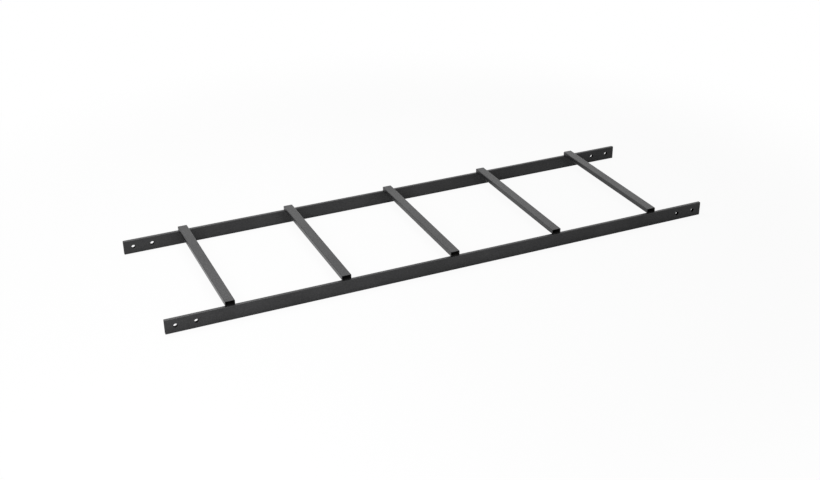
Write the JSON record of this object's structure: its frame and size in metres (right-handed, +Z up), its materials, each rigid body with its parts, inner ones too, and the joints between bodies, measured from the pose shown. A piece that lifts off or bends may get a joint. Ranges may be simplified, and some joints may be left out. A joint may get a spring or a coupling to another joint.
{
  "type": "cable ladder section",
  "caption": "Straight cable ladder section: tube rungs across two tube stringers, with bolt holes at the ends for splicing and a black powder-coat finish.",
  "frame": {"origin": "middle of the section's length and width, on the level surface that the stringers' undersides stand on", "axes": "+X along the stringers, +Y across them towards the left stringer, +Z up through the rungs' tops"},
  "size_m": [1.524, 0.4572, 0.0508],
  "materials": {
    "stringer_paint": "black powder coat, satin, fine orange peel",
    "rung_paint": "black powder coat, satin, fine orange peel",
    "weld_paint": "black powder coat over weld bead, satin"
  },
  "bodies": {
    "root": {"stringer_left": "stringer_paint", "stringer_right": "stringer_paint", "rung_1": "rung_paint", "rung_2": "rung_paint", "rung_3": "rung_paint", "rung_4": "rung_paint", "rung_5": "rung_paint", "weld_left_1": "weld_paint", "weld_left_2": "weld_paint", "weld_left_3": "weld_paint", "weld_left_4": "weld_paint", "weld_left_5": "weld_paint", "weld_right_1": "weld_paint", "weld_right_2": "weld_paint", "weld_right_3": "weld_paint", "weld_right_4": "weld_paint", "weld_right_5": "weld_paint"}
  },
  "joints": []
}
